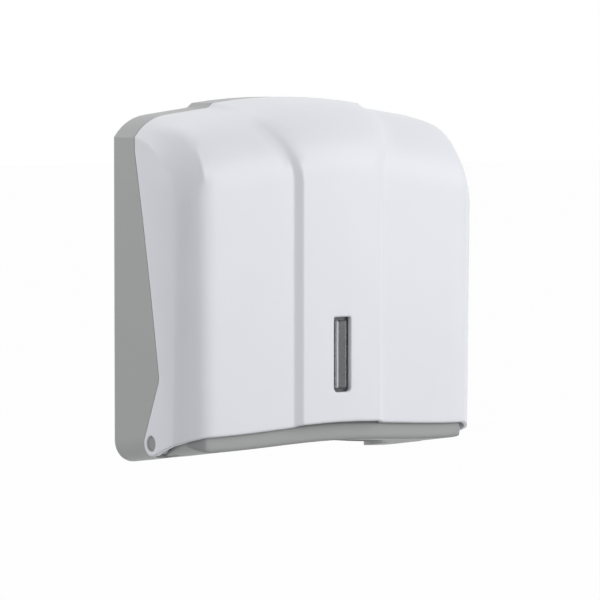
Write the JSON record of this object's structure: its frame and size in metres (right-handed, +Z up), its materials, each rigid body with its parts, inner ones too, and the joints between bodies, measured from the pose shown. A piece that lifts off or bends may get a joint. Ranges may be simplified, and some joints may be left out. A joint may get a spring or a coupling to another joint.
{
  "type": "folded paper towel dispenser",
  "caption": "Wall-mounted folded paper towel dispenser with a curved white hinged cover, a raised centre band, a slim sight window and a grey chassis.",
  "frame": {"origin": "on the flat rear face of the chassis, in the middle of its width and 150 mm above its lowest edge", "axes": "+X to the right as seen from the front, +Y into the wall, +Z up; the front faces -Y"},
  "size_m": [0.28, 0.1047, 0.281],
  "materials": {
    "grey_abs": "fine satin mould texture, mid grey",
    "white_abs": "smooth semi-gloss, cool white",
    "smoked_pc": "clear smoked plastic",
    "grey_nylon": "satin",
    "plated_steel": "bright zinc plated",
    "zinc": "satin chromed casting"
  },
  "bodies": {
    "housing": {"back_shell": "grey_abs", "outlet_tray": "grey_abs", "tray_screw_rear_left": "plated_steel", "tray_screw_rear_right": "plated_steel", "tray_screw_front_left": "plated_steel", "tray_screw_front_right": "plated_steel", "hinge_pin_left": "grey_nylon", "hinge_pin_right": "grey_nylon", "pin_clip_left": "plated_steel", "pin_clip_right": "plated_steel", "lock_barrel": "zinc", "lock_nut": "plated_steel"},
    "cover": {"front_cover": "white_abs", "sight_window": "smoked_pc", "window_clip_lower": "plated_steel", "window_clip_upper": "plated_steel"},
    "lock": {"lock_core": "zinc", "lock_cam": "plated_steel", "cam_washer": "plated_steel", "cam_screw": "plated_steel"}
  },
  "joints": [
    {"name": "cover_hinge", "type": "hinge", "parent": "housing", "child": "cover", "pos_m": [0, -0.051, -0.1318], "axis": [1, 0, 0], "range_deg": [0, 95]},
    {"name": "lock_turn", "type": "hinge", "parent": "housing", "child": "lock", "pos_m": [0, -0.0148, 0.1165], "axis": [0, 0, 1], "range_deg": [0, 90]}
  ]
}
